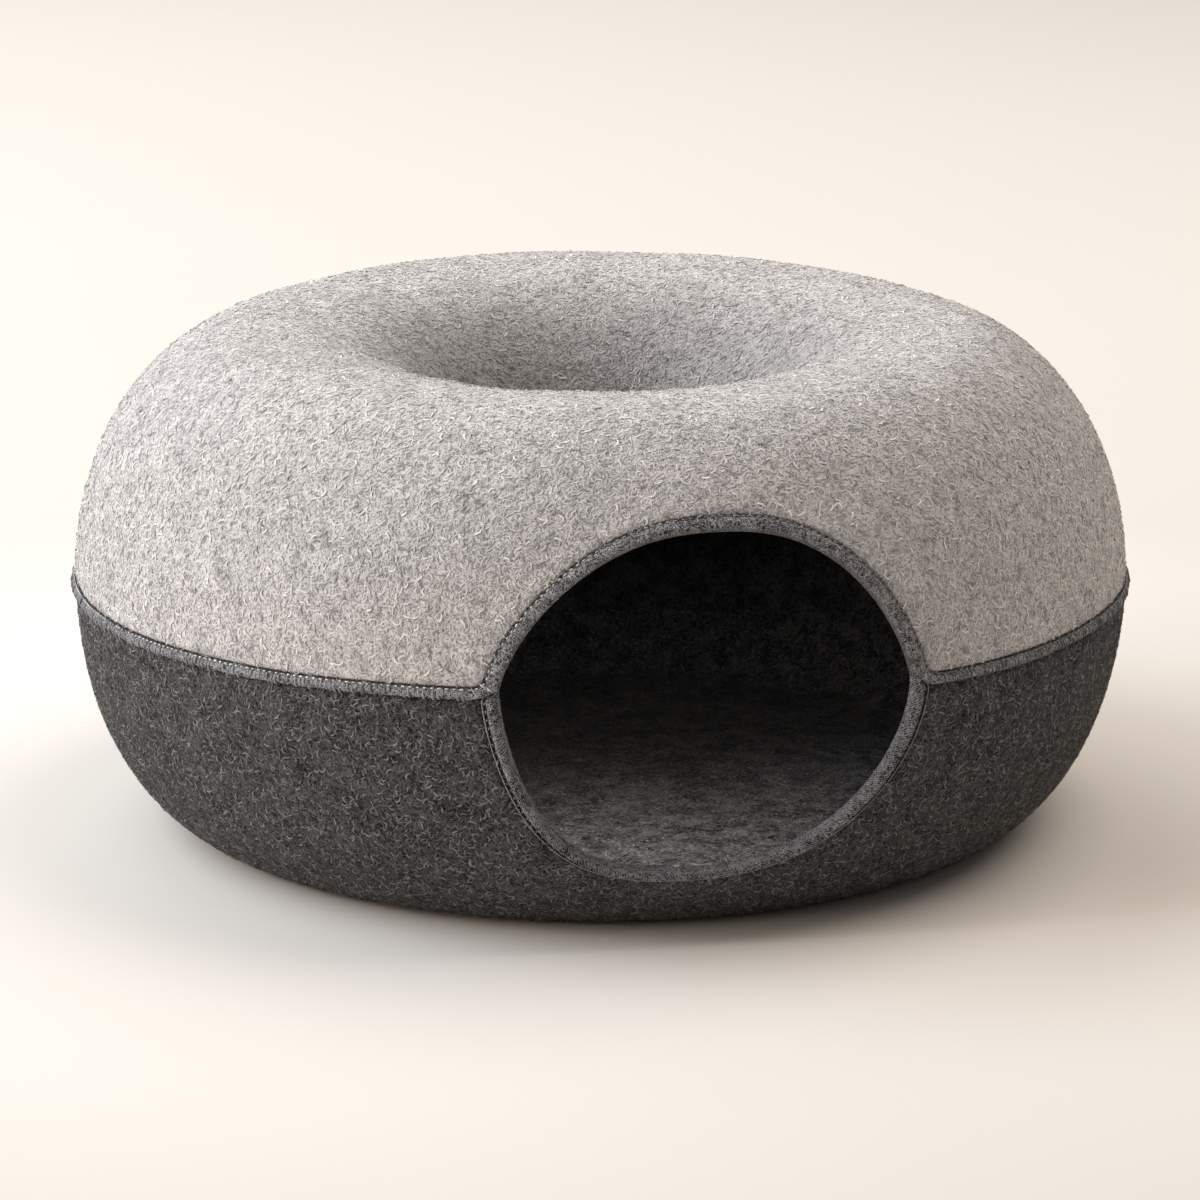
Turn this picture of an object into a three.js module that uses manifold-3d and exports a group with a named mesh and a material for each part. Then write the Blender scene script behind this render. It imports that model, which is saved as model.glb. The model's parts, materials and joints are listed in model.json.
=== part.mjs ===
// A donut cat tunnel of thick felt: a light grey upper shell that turns down into a centre hole, a charcoal
// lower shell with a round floor, an edge strip that hides their seam and arches over the doorway, and the
// binding of the doorway's lower half.
//
// Millimetres, +Z up. The origin is at the middle of the base, on the surface that the tunnel stands on, and
// the doorway faces -Y.

import * as THREE from 'three';
import { mergeVertices } from 'three/addons/utils/BufferGeometryUtils.js';
import Module from 'manifold-3d';

// The body
const BODY_RADIUS = 300; // outer radius at the seam, where the body is widest
const BODY_HEIGHT = 280;
const SEAM_HEIGHT = 140; // where the two shells meet
const RIDGE_RADIUS = 204; // the ring along the very top
const FLARE_RADIUS = 227; // where the lower wall runs out into the base
const REST_RADIUS = 205; // edge of the flat that it stands on
const FELT = 5;

// The centre hole: the top turns down into it and ends in a cut edge above the floor
const THROAT_RADIUS = 61;
const THROAT_HEIGHT = 175;

// The doorway, an oval that leans a little: its top towards +X and its foot towards -X
const DOOR_HALF_WIDTH = 113;
const ARCH_RISE = 89; // above the seam
const ARCH_LEAN = 5; // towards +X at its top
const SILL_DROP = 99; // below the seam
const SILL_LEAN = 12; // towards -X at its foot

// The bands round it, as they show from the front: narrower where the wall leans back
const SIDE_BAND = 8.4;
const ARCH_TOP_BAND = 6.8;
const SILL_FOOT_BAND = 4.2;

// The edge strip
const STRIP_HEIGHT = 7;
const STRIP_PROUD = 2.5; // how far strip and binding stand out from the felt
const BINDING_INSIDE = 1.3; // and how far they stand in from its inner face
const STRIP_CORNER = 8; // inner radius where the strip turns up into the arch

// The seam isn't level: it rises towards a place left of the doorway's middle, and both shells follow it
const LIFT = 9.3;
const LIFT_ANGLE = -12; // where it is highest, in degrees from the doorway's middle towards +X
const LIFT_SPREAD_LEFT = 41;
const LIFT_SPREAD_RIGHT = 31;
const SEAM_SAG = 2; // how far it lies below its mean height elsewhere
const LIFT_REACH = 95; // how far above and below the seam the walls move with it

const GAP = 0.3; // between pieces that touch
const SECTORS = 64; // around the body
const FAR = 400; // well outside the body

// How square each curve of the section is: 2 is an ellipse, and more is squarer
const SHOULDER = { across: 1.73, up: 2.1, steps: 8 };
const FOOT = { across: 1.68, up: 2.15, steps: 8 };
const FUNNEL = { across: 2.62, up: 2.62, steps: 9 };
const ARCH = { across: 2.4, up: 1.35, steps: 30 };
const SILL = { across: 2.5, up: 1.63, steps: 28 };

const wasm = await Module();
wasm.setup();

// A point of a superellipse's quarter, as shares of its two half axes
function quarterPoint(curve, angle) {
  return [
    Math.cos(angle) ** (2 / curve.across),
    Math.sin(angle) ** (2 / curve.up),
  ];
}

// The angle at which a quarter reaches a share of its height
function angleAt(curve, share) {
  return Math.asin(share ** (curve.up / 2));
}

// Points (radius, height) of one quarter of the section, from one angle to another
function sectionCurve(curve, from, to, place) {
  const points = [];
  for (let i = 0; i <= curve.steps; i++) {
    const [across, up] = quarterPoint(curve, from + ((to - from) * i) / curve.steps);
    points.push(place(across, up));
  }
  return points;
}

const onShoulder = (across, up) => new THREE.Vector2(
  RIDGE_RADIUS + (BODY_RADIUS - RIDGE_RADIUS) * across,
  SEAM_HEIGHT + (BODY_HEIGHT - SEAM_HEIGHT) * up,
);
const onFunnel = (across, up) => new THREE.Vector2(
  RIDGE_RADIUS - (RIDGE_RADIUS - THROAT_RADIUS) * across,
  SEAM_HEIGHT + (BODY_HEIGHT - SEAM_HEIGHT) * up,
);
const onFoot = (across, up) => new THREE.Vector2(
  FLARE_RADIUS + (BODY_RADIUS - FLARE_RADIUS) * across,
  SEAM_HEIGHT * (1 - up),
);

// A section line moved sideways; a positive distance is to the right of its direction
function moved(line, distance) {
  return line.map((point, i) => {
    const before = line[Math.max(i - 1, 0)];
    const after = line[Math.min(i + 1, line.length - 1)];
    const along = new THREE.Vector2().subVectors(after, before).normalize();
    return new THREE.Vector2(point.x + along.y * distance, point.y - along.x * distance);
  });
}

// A closed section turned round the Z axis
function turned(section) {
  const closed = [...section, section[0].clone()];
  return new THREE.LatheGeometry(closed, SECTORS).rotateX(Math.PI / 2);
}

// A closed outline in the front view, as a block that cuts through the front wall only
function frontBlock(outline) {
  const block = new THREE.ExtrudeGeometry(new THREE.Shape(outline), {
    depth: FAR - RIDGE_RADIUS + FELT,
    bevelEnabled: false,
  });
  return block.rotateX(Math.PI / 2).translate(0, -RIDGE_RADIUS + FELT, 0);
}

function toSolid(geometry) {
  const bare = geometry.clone();
  bare.deleteAttribute('normal');
  bare.deleteAttribute('uv');
  const merged = mergeVertices(bare, 1e-4);
  const solid = new wasm.Manifold(new wasm.Mesh({
    numProp: 3,
    vertProperties: new Float32Array(merged.attributes.position.array),
    triVerts: new Uint32Array(merged.index.array),
  }));
  if (solid.status() !== 'NoError' || solid.volume() <= 0) {
    throw new Error(`not a closed solid: ${solid.status()}, ${solid.volume()}`);
  }
  return solid;
}

// Moves the outer wall up or down with its seam; the top, the centre hole and the base stay
function withSeamLift(solid) {
  return solid.warp((vertex) => {
    const [x, y, z] = vertex;
    const angle = (Math.atan2(x, -y) * 180) / Math.PI;
    const spread = angle < LIFT_ANGLE ? LIFT_SPREAD_LEFT : LIFT_SPREAD_RIGHT;
    const lift = LIFT * Math.exp(-(((angle - LIFT_ANGLE) / spread) ** 2)) - SEAM_SAG;
    const away = Math.min(Math.abs(z - SEAM_HEIGHT) / LIFT_REACH, 1);
    const onWall = THREE.MathUtils.smoothstep(Math.hypot(x, y), RIDGE_RADIUS, BODY_RADIUS - 30);
    vertex[2] = z + lift * onWall * Math.cos((Math.PI / 2) * away) ** 2;
  });
}

function toMesh(name, solid, color) {
  const { vertProperties, triVerts } = withSeamLift(solid).getMesh();
  const geometry = new THREE.BufferGeometry();
  geometry.setAttribute('position', new THREE.BufferAttribute(vertProperties, 3));
  geometry.setIndex(new THREE.BufferAttribute(triVerts, 1));
  geometry.computeVertexNormals();
  const mesh = new THREE.Mesh(geometry, new THREE.MeshStandardMaterial({
    color, roughness: 1, metalness: 0,
  }));
  mesh.name = name;
  return mesh;
}

// --- The doorway in the front view -------------------------------------------------------------------

// Half of the doorway's oval, grown by a width, from its right end round to its left end
function halfOval(curve, rise, grow, side) {
  const points = [];
  for (let i = 0; i <= curve.steps; i++) {
    const angle = (Math.PI * i) / curve.steps;
    const [across, up] = quarterPoint(curve, Math.min(angle, Math.PI - angle));
    const x = Math.sign(Math.cos(angle)) * across * (DOOR_HALF_WIDTH + grow.across);
    const lean = (side < 0 ? -SILL_LEAN : ARCH_LEAN) * up ** 2;
    points.push(new THREE.Vector2(x + lean, SEAM_HEIGHT + side * up * (rise + grow.up)));
  }
  return points;
}

function archLine(sideWidth, topWidth) {
  return halfOval(ARCH, ARCH_RISE, { across: sideWidth, up: topWidth }, 1);
}

function sillLine(sideWidth, footWidth) {
  return halfOval(SILL, SILL_DROP, { across: sideWidth, up: footWidth }, -1);
}

// The whole doorway
function doorway() {
  return [...archLine(0, 0), ...sillLine(0, 0).reverse().slice(1, -1)];
}

// The arch with its strip, which flares where it meets the strip along the seam
function archWithStrip(grow) {
  const top = SEAM_HEIGHT + STRIP_HEIGHT / 2 + grow;
  const radius = STRIP_CORNER - grow;
  const height = top + radius;
  const line = archLine(SIDE_BAND + grow, ARCH_TOP_BAND + grow);
  const arch = line.filter((point) => point.y > height + 1);
  const share = (height - SEAM_HEIGHT) / (ARCH_RISE + ARCH_TOP_BAND + grow);
  const [across] = quarterPoint(ARCH, angleAt(ARCH, share));
  const half = across * (DOOR_HALF_WIDTH + SIDE_BAND + grow);
  const corner = [];
  const steps = 5;
  for (let i = 0; i <= steps; i++) {
    const angle = ((Math.PI / 2) * i) / steps;
    corner.push([half + radius - radius * Math.sin(angle), height - radius * Math.cos(angle)]);
  }
  return [
    new THREE.Vector2(half + radius, SEAM_HEIGHT),
    ...corner.map(([x, z]) => new THREE.Vector2(x, z)),
    ...arch,
    ...corner.reverse().map(([x, z]) => new THREE.Vector2(-x, z)),
    new THREE.Vector2(-half - radius, SEAM_HEIGHT),
  ];
}

// The doorway's lower half with its binding, closed a little above the seam
function sillWithBinding(grow) {
  return [
    new THREE.Vector2(DOOR_HALF_WIDTH + SIDE_BAND + grow, SEAM_HEIGHT + STRIP_HEIGHT),
    new THREE.Vector2(-DOOR_HALF_WIDTH - SIDE_BAND - grow, SEAM_HEIGHT + STRIP_HEIGHT),
    ...sillLine(SIDE_BAND + grow, SILL_FOOT_BAND + grow).reverse(),
  ];
}

// A band through the wall's thickness, on both faces of the felt, between two angles of its curve
function wallBand(curve, place, from, to) {
  const line = sectionCurve(curve, from, to, place);
  const up = line[0].y < line.at(-1).y ? 1 : -1;
  const outer = moved(line, STRIP_PROUD * up);
  const inner = moved(line, -(FELT + BINDING_INSIDE) * up);
  const section = [...outer, ...inner.reverse()];
  return toSolid(turned(up > 0 ? section : section.reverse()));
}

// --- The pieces --------------------------------------------------------------------------------------

function upperShell() {
  const bottom = SEAM_HEIGHT + STRIP_HEIGHT / 2 + GAP;
  const rise = BODY_HEIGHT - SEAM_HEIGHT;
  const start = angleAt(SHOULDER, (bottom - SEAM_HEIGHT) / rise);
  const end = angleAt(FUNNEL, (THROAT_HEIGHT - SEAM_HEIGHT) / rise);
  const outside = [
    ...sectionCurve(SHOULDER, start, Math.PI / 2, onShoulder),
    ...sectionCurve(FUNNEL, Math.PI / 2, end, onFunnel).slice(1),
  ];
  const inside = moved(outside, -FELT);
  inside[0].y = bottom; // both edges are cut level
  inside.at(-1).y = THROAT_HEIGHT;
  const shell = toSolid(turned([...outside, ...inside.reverse()]));
  const hole = toSolid(frontBlock([
    ...archWithStrip(GAP),
    new THREE.Vector2(-DOOR_HALF_WIDTH, SEAM_HEIGHT - STRIP_HEIGHT),
    new THREE.Vector2(DOOR_HALF_WIDTH, SEAM_HEIGHT - STRIP_HEIGHT),
  ]));
  return shell.subtract(hole);
}

function lowerShell() {
  const top = SEAM_HEIGHT - STRIP_HEIGHT / 2 - GAP;
  const start = angleAt(FOOT, (SEAM_HEIGHT - top) / SEAM_HEIGHT);
  const end = angleAt(FOOT, 0.98);
  const outside = sectionCurve(FOOT, start, end, onFoot);
  const inside = moved(outside, FELT);
  inside[0].y = top;
  const shell = toSolid(turned([
    new THREE.Vector2(0, 0),
    new THREE.Vector2(REST_RADIUS, 0),
    ...outside.reverse(),
    ...inside,
    new THREE.Vector2(REST_RADIUS, FELT),
    new THREE.Vector2(0, FELT),
  ]));
  return shell.subtract(toSolid(frontBlock(sillWithBinding(GAP))));
}

function seamStrip() {
  const half = STRIP_HEIGHT / 2;
  const outer = BODY_RADIUS + STRIP_PROUD;
  const inner = BODY_RADIUS - FELT - BINDING_INSIDE;
  const lip = 1.2; // rounding of the strip's outer corners
  const ring = toSolid(turned([
    new THREE.Vector2(inner, SEAM_HEIGHT - half),
    new THREE.Vector2(outer - lip, SEAM_HEIGHT - half),
    new THREE.Vector2(outer, SEAM_HEIGHT - half + lip),
    new THREE.Vector2(outer, SEAM_HEIGHT + half - lip),
    new THREE.Vector2(outer - lip, SEAM_HEIGHT + half),
    new THREE.Vector2(inner, SEAM_HEIGHT + half),
  ]));
  const bandTop = (ARCH_RISE + ARCH_TOP_BAND + STRIP_HEIGHT) / (BODY_HEIGHT - SEAM_HEIGHT);
  const wall = wallBand(SHOULDER, onShoulder, 0, angleAt(SHOULDER, bandTop));
  const arch = wall.intersect(toSolid(frontBlock(archWithStrip(0))));
  return ring.add(arch).subtract(toSolid(frontBlock(doorway())));
}

function doorBinding() {
  const top = STRIP_HEIGHT / 2 + GAP;
  const bottom = SILL_DROP + SILL_FOOT_BAND + STRIP_HEIGHT;
  const wall = wallBand(
    FOOT, onFoot, angleAt(FOOT, top / SEAM_HEIGHT), angleAt(FOOT, bottom / SEAM_HEIGHT),
  );
  const belowStrip = toSolid(frontBlock([
    new THREE.Vector2(FAR, SEAM_HEIGHT - top),
    new THREE.Vector2(-FAR, SEAM_HEIGHT - top),
    new THREE.Vector2(-FAR, 0),
    new THREE.Vector2(FAR, 0),
  ]));
  return wall
    .intersect(toSolid(frontBlock(sillWithBinding(0))))
    .intersect(belowStrip)
    .subtract(toSolid(frontBlock(doorway())));
}

const tunnel = new THREE.Group();
tunnel.add(toMesh('upper_shell', upperShell(), 0xa9a4a1));
tunnel.add(toMesh('lower_shell', lowerShell(), 0x4b4a4b));
tunnel.add(toMesh('seam_strip', seamStrip(), 0x6b6a6c));
tunnel.add(toMesh('door_binding', doorBinding(), 0x77787c));

export default tunnel;
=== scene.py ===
import json
import math

import bpy
import numpy as np
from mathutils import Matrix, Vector
from mathutils.kdtree import KDTree

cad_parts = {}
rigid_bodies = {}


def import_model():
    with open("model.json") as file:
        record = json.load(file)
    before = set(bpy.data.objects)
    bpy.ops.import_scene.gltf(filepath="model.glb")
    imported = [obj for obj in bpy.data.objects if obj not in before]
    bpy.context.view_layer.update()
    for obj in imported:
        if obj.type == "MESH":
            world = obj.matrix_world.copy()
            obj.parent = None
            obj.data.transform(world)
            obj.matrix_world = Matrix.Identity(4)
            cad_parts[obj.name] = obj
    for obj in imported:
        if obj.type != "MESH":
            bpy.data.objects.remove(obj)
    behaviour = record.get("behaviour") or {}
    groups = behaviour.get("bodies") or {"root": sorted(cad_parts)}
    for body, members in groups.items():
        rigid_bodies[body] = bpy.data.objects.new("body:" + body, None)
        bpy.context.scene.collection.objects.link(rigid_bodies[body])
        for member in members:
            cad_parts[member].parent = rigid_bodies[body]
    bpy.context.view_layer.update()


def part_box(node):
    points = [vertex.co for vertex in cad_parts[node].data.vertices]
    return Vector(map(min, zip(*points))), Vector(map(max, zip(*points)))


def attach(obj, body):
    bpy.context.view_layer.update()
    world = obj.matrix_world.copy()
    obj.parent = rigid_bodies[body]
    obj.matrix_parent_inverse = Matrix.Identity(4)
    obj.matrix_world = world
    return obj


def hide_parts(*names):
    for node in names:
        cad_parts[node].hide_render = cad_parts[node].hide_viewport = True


# A donut cat tunnel of thick felt: a light grey upper shell, a charcoal lower shell with a round
# floor, an edge strip that hides their seam and arches over the doorway, and the sill's binding.
#
# Sizes are in millimetres and meshes in metres. The doorway faces -Y. A place on the wall is an
# angle from the doorway's middle, positive towards +X, and a height or a length along its section.

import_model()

MM = 0.001
rng = np.random.default_rng(7)

# --- Sizes ---

BODY_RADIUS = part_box("lower_shell")[1][0] / MM
BODY_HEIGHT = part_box("upper_shell")[1][2] / MM
SEAM_HEIGHT = BODY_HEIGHT / 2  # before the seam's lift
GAP = 0.3  # between pieces that touch
STRIP_HEIGHT = 6.2
SECTION_WIDTH = 7.0  # a tape narrower than this has its section squeezed into it
STRIP_FOOT = SEAM_HEIGHT - STRIP_HEIGHT / 2
UPPER_EDGE = STRIP_FOOT + STRIP_HEIGHT + GAP
LOWER_EDGE = STRIP_FOOT - GAP
RIDGE_RADIUS = 204.0
FLARE_RADIUS = 227.0
REST_RADIUS = 205.0
THROAT_RADIUS = 61.0
THROAT_HEIGHT = 175.0
FELT = 5.0
DOOR_HALF_WIDTH = 113.0
ARCH_RISE = 89.0
SILL_DROP = 99.0
ARCH_LEAN = 5.0  # how far the arch's top lies towards +X
SILL_LEAN = -12.0  # and the sill's foot
SIDE_BAND = 8.4  # the tapes round the doorway, as they show from the front
ARCH_TOP_BAND = 6.8
SILL_FOOT_BAND = 4.2
STRIP_CORNER = 8.0
TIP_RISE = 5.5  # how far the strip's lower edge curves up to its corner at the doorway
TIP_REACH = 15.0
TIP_CURVE = 2.2

# The seam isn't level: it rises towards a place left of the doorway's middle
LIFT = 9.3
LIFT_ANGLE = -12.0
LIFT_SPREAD_LEFT = 41.0
LIFT_SPREAD_RIGHT = 31.0
SEAM_SAG = 2.0
LIFT_REACH = 95.0
LIFT_FULL_RADIUS = BODY_RADIUS - 30

# How square each quarter of an oval is, across and up: 2 is an ellipse
SHOULDER = (1.73, 2.1)
FOOT = (1.68, 2.15)
FUNNEL = (2.62, 2.62)
ARCH = (2.4, 1.35)
SILL = (2.5, 1.63)

COLUMNS = 240  # of the shells' grids, round the body
DOOR_COLUMNS = 22  # on each side of the doorway's middle that make room for it


# --- The body's section ---

def quarter(curve, angle):
    """Shares of the two half axes at an angle of a superellipse's quarter."""
    across, up = curve
    return (
        np.clip(np.cos(angle), 0, 1) ** (2 / across),
        np.clip(np.sin(angle), 0, 1) ** (2 / up),
    )


def angle_at(curve, share):
    return math.asin(share ** (curve[1] / 2))


def run_of(line):
    """A line's length up to each of its points."""
    return np.concatenate([[0], np.cumsum(np.linalg.norm(np.diff(line, axis=0), axis=1))])


def along(line, shares):
    """A line of points again, at shares of its length."""
    length = run_of(line)
    return np.stack([np.interp(shares * length[-1], length, v) for v in line.T], axis=1)


class Section:
    """A line of radius and height, followed by its length, with the way that the wall faces."""

    STEP = 0.5
    SOFT = 9  # half the window, in steps, that rounds the place where two quarters meet

    def __init__(self, radius, height, side):
        length = run_of(np.stack([radius, height], axis=1))
        self.length = np.arange(0, length[-1] + self.STEP / 2, self.STEP)
        self.radius = self.soften(np.interp(self.length, length, radius))
        self.height = self.soften(np.interp(self.length, length, height))
        slope = np.stack([np.gradient(self.radius), np.gradient(self.height)])
        slope /= np.linalg.norm(slope, axis=0)
        self.out = slope[1] * side
        self.rise = -slope[0] * side

    def soften(self, values):
        window = np.hanning(2 * self.SOFT + 3)[1:-1]
        padded = np.pad(values, self.SOFT, mode="reflect", reflect_type="odd")
        return np.convolve(padded, window / window.sum(), "valid")

    def at(self, length):
        return [
            np.interp(length, self.length, values)
            for values in (self.radius, self.height, self.out, self.rise)
        ]

    def length_at(self, height):
        """The length at which the wall, on its way from the seam, first reaches a height."""
        away = np.abs(self.height - self.height[0])
        count = int(np.argmax(away)) + 1
        return np.interp(np.abs(height - self.height[0]), away[:count], self.length[:count])


QUARTER_STEPS = 900
FOOT_SHARE = 0.985  # of the wall's foot, before the flat base takes over

turn_up = np.linspace(0, math.pi / 2, QUARTER_STEPS)
shoulder = quarter(SHOULDER, turn_up)
funnel_end = angle_at(FUNNEL, (THROAT_HEIGHT - SEAM_HEIGHT) / (BODY_HEIGHT - SEAM_HEIGHT))
funnel = quarter(FUNNEL, np.linspace(math.pi / 2, funnel_end, QUARTER_STEPS)[1:])
upper_wall = Section(
    np.concatenate([
        RIDGE_RADIUS + (BODY_RADIUS - RIDGE_RADIUS) * shoulder[0],
        RIDGE_RADIUS - (RIDGE_RADIUS - THROAT_RADIUS) * funnel[0],
    ]),
    SEAM_HEIGHT + (BODY_HEIGHT - SEAM_HEIGHT) * np.concatenate([shoulder[1], funnel[1]]),
    side=1,
)
foot = quarter(FOOT, np.linspace(0, angle_at(FOOT, FOOT_SHARE), QUARTER_STEPS))
lower_wall = Section(
    np.concatenate([FLARE_RADIUS + (BODY_RADIUS - FLARE_RADIUS) * foot[0], [REST_RADIUS, 0]]),
    np.concatenate([SEAM_HEIGHT * (1 - foot[1]), [0, 0]]),
    side=-1,
)


# Waves in the hand-shaped wall: their size, how many go round, the height over which they turn,
# and their phase
DENTS = ((0.45, 2, math.inf, 0.6), (0.35, 3, 55, 0), (0.3, 7, 34, 1.3), (0.22, 13, -21, 0))
DENTS_START, DENTS_REACH = 25, 70  # they fade in above the flat base


def dent(angle, height):
    """How far the wall strays from a true round one."""
    fade = np.clip((height - DENTS_START) / DENTS_REACH, 0, 1)
    waves = sum(
        size * np.sin(count * angle + height / turn + phase) for size, count, turn, phase in DENTS
    )
    return waves * fade * fade * (3 - 2 * fade)


def seam_lift(angle, radius, height):
    """How far the outer wall moves up with its seam. The top, the centre hole and the base stay."""
    turn = (np.degrees(angle) + 180) % 360 - 180
    spread = np.where(turn < LIFT_ANGLE, LIFT_SPREAD_LEFT, LIFT_SPREAD_RIGHT)
    rise = LIFT * np.exp(-(((turn - LIFT_ANGLE) / spread) ** 2)) - SEAM_SAG
    outer = np.clip((radius - RIDGE_RADIUS) / (LIFT_FULL_RADIUS - RIDGE_RADIUS), 0, 1)
    away = np.clip(np.abs(height - SEAM_HEIGHT) / LIFT_REACH, 0, 1)
    return rise * outer * outer * (3 - 2 * outer) * np.cos(math.pi / 2 * away) ** 2


def on_wall(section, angle, length, out):
    """Points in metres on a wall, a distance out from its surface."""
    radius, height, facing_out, facing_up = section.at(length)
    out = out + dent(angle, height)
    radius = radius + out * facing_out
    height = height + out * facing_up
    height = height + seam_lift(angle, radius, height)
    return np.stack([radius * np.sin(angle), -radius * np.cos(angle), height], axis=-1) * MM


def by_wall(height):
    """Each wall's section, and which of the heights before the seam's lift lie on that wall."""
    return (upper_wall, height >= SEAM_HEIGHT), (lower_wall, height < SEAM_HEIGHT)


# --- The doorway's lines in the front view ---

# The doorway's two halves: their oval, lean and reach, and whether that is up or down
OVER = (ARCH, ARCH_LEAN, ARCH_RISE, 1)
UNDER = (SILL, SILL_LEAN, SILL_DROP, -1)


def door_line(half, side_width, end_width, angle):
    """The arch or the sill, widened, at angles from its right end over or under to its left end."""
    curve, lean, reach, way = half
    across, away = quarter(curve, np.minimum(angle, math.pi - angle))
    return np.stack([
        np.sign(np.cos(angle)) * across * (DOOR_HALF_WIDTH + side_width) + lean * away**2,
        SEAM_HEIGHT + way * away * (reach + end_width),
    ], axis=1)


def arch_corner(grow):
    """Where the strip's upper edge turns into the arch: a centre, a radius and the arch's angle."""
    top = SEAM_HEIGHT + STRIP_HEIGHT / 2 + grow
    radius = STRIP_CORNER - grow
    centre_height = top + radius
    share = (centre_height - SEAM_HEIGHT) / (ARCH_RISE + ARCH_TOP_BAND + grow)
    angle = angle_at(ARCH, share)
    half = quarter(ARCH, angle)[0] * (DOOR_HALF_WIDTH + SIDE_BAND + grow)
    return half + radius, centre_height, radius, angle


def corner_arc(grow, share):
    """The left corner of that edge, from the seam (0) to the arch (1)."""
    centre, height, radius, _ = arch_corner(grow)
    turn = share * math.pi / 2
    return np.stack([radius * np.sin(turn) - centre, height - radius * np.cos(turn)], axis=1)


def both_sides(left, between):
    """A line that starts at the doorway's left, goes on, and ends as it started at the right."""
    return np.concatenate([left, between, left[::-1] * (-1, 1)])


def upper_outline():
    """The upper felt's cut edge round the doorway, from left to right."""
    start = arch_corner(GAP)[-1]
    over = np.linspace(math.pi - start, start, 240)[1:-1]
    arch = door_line(OVER, SIDE_BAND + GAP, ARCH_TOP_BAND + GAP, over)
    return both_sides(corner_arc(GAP, np.linspace(0, 1, 24)), arch)


def lower_outline():
    start = angle_at(SILL, (SEAM_HEIGHT - LOWER_EDGE) / (SILL_DROP + SILL_FOOT_BAND + GAP))
    under = np.linspace(math.pi - start, start, 300)
    return door_line(UNDER, SIDE_BAND + GAP, SILL_FOOT_BAND + GAP, under)


# --- Meshes ---

def in_scene(thing):
    bpy.context.scene.collection.objects.link(thing)
    return thing


def new_piece(name, points, faces, material=None, smooth=True, edges=()):
    mesh = bpy.data.meshes.new(name)
    faces = [tuple(int(i) for i in face) for face in faces]
    mesh.from_pydata([tuple(p) for p in points], edges, faces)
    mesh.validate()
    if smooth:
        mesh.polygons.foreach_set("use_smooth", [True] * len(mesh.polygons))
    mesh.update()
    if material:
        mesh.materials.append(material)
    return in_scene(bpy.data.objects.new(name, mesh))


# Where the rings of faces lie between the doorway's edge (0) and the opening in the grid (1)
RING_SHARES = (
    0, 0.022, 0.055, 0.095, 0.145, 0.205, 0.275, 0.355, 0.45, 0.55, 0.66, 0.77, 0.885, 1,
)
EDGE_PARTS = 4  # each edge of the rim is measured from this many places on it


class Shell:
    """A shell of felt as a grid of places (angle, length), the doorway's edge worked into it."""

    def __init__(self, section, rows, last_row, outline, pole=False):
        self.places = []
        self.faces = []
        self.section = section
        columns = np.arange(COLUMNS) - COLUMNS // 2
        grid = -np.ones((len(rows), COLUMNS), int)
        for j, length in enumerate(rows):
            for i, column in enumerate(columns):
                if j < last_row and abs(column) < DOOR_COLUMNS:
                    continue
                grid[j, i] = self.place(math.tau * column / COLUMNS, length)
        for j in range(len(rows) - 1):
            for i in range(COLUMNS):
                corners = [grid[j, i], grid[j, (i + 1) % COLUMNS]]
                corners += [grid[j + 1, (i + 1) % COLUMNS], grid[j + 1, i]]
                in_doorway = j < last_row and abs(columns[i] + 0.5) < DOOR_COLUMNS
                if min(corners) >= 0 and not in_doorway:
                    self.faces.append(corners)
        if pole:
            tip = self.place(0, section.length[-1])
            last = grid[-1]
            self.faces += [[last[i], last[(i + 1) % COLUMNS], tip] for i in range(COLUMNS)]
        middle = COLUMNS // 2
        left, right = middle - DOOR_COLUMNS, middle + DOOR_COLUMNS
        frame_chain = [grid[j, left] for j in range(last_row)]
        frame_chain += [grid[last_row, i] for i in range(left, right + 1)]
        frame_chain += [grid[j, right] for j in reversed(range(last_row))]
        self.fill(frame_chain, outline)
        self.places = np.array(self.places)

    def place(self, angle, length):
        self.places.append((angle, length))
        return len(self.places) - 1

    def fill(self, chain, outline):
        """Rings of faces from the doorway's edge out to the opening in the grid."""
        lengths = self.section.length_at(outline[:, 1])
        angles = np.arcsin(outline[:, 0] / self.section.at(lengths)[0])
        edge = np.stack([angles * BODY_RADIUS, lengths], axis=1)
        far = np.array([self.places[i] for i in chain]) * (BODY_RADIUS, 1)
        reach = run_of(far)
        near = along(edge, reach / reach[-1])
        rings = []
        for share in RING_SHARES[:-1]:
            ring = near + (far - near) * share
            rings.append([self.place(a / BODY_RADIUS, s) for a, s in ring])
        rings.append(chain)
        for inner, outer in zip(rings, rings[1:]):
            for k in range(len(chain) - 1):
                self.faces.append([inner[k], inner[k + 1], outer[k + 1], outer[k]])

    def rim(self):
        """The edges that only one face has, in that face's direction."""
        seen = {}
        for face in self.faces:
            for a, b in zip(face, face[1:] + face[:1]):
                seen[(a, b)] = seen.get((a, b), 0) + 1
        return [(a, b) for a, b in seen if (b, a) not in seen]

    def points(self, out):
        angle, length = self.places.T
        return on_wall(self.section, angle, length, out)

    def from_edge(self):
        """How far each place is from the felt's nearest cut edge, in millimetres."""
        flat = self.points(np.zeros(len(self.places)))
        edge = self.rim()
        tree = KDTree(len(edge) * EDGE_PARTS)
        for n, (a, b) in enumerate(edge):
            for k in range(EDGE_PARTS):
                tree.insert(flat[a] + (flat[b] - flat[a]) * (k / EDGE_PARTS), n * EDGE_PARTS + k)
        tree.balance()
        return np.array([tree.find(p)[2] for p in flat]) / MM


STEP_GROWTH = 1.3
LAST_STEP_SHARE = 0.4  # the least that is left for the last step


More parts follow.
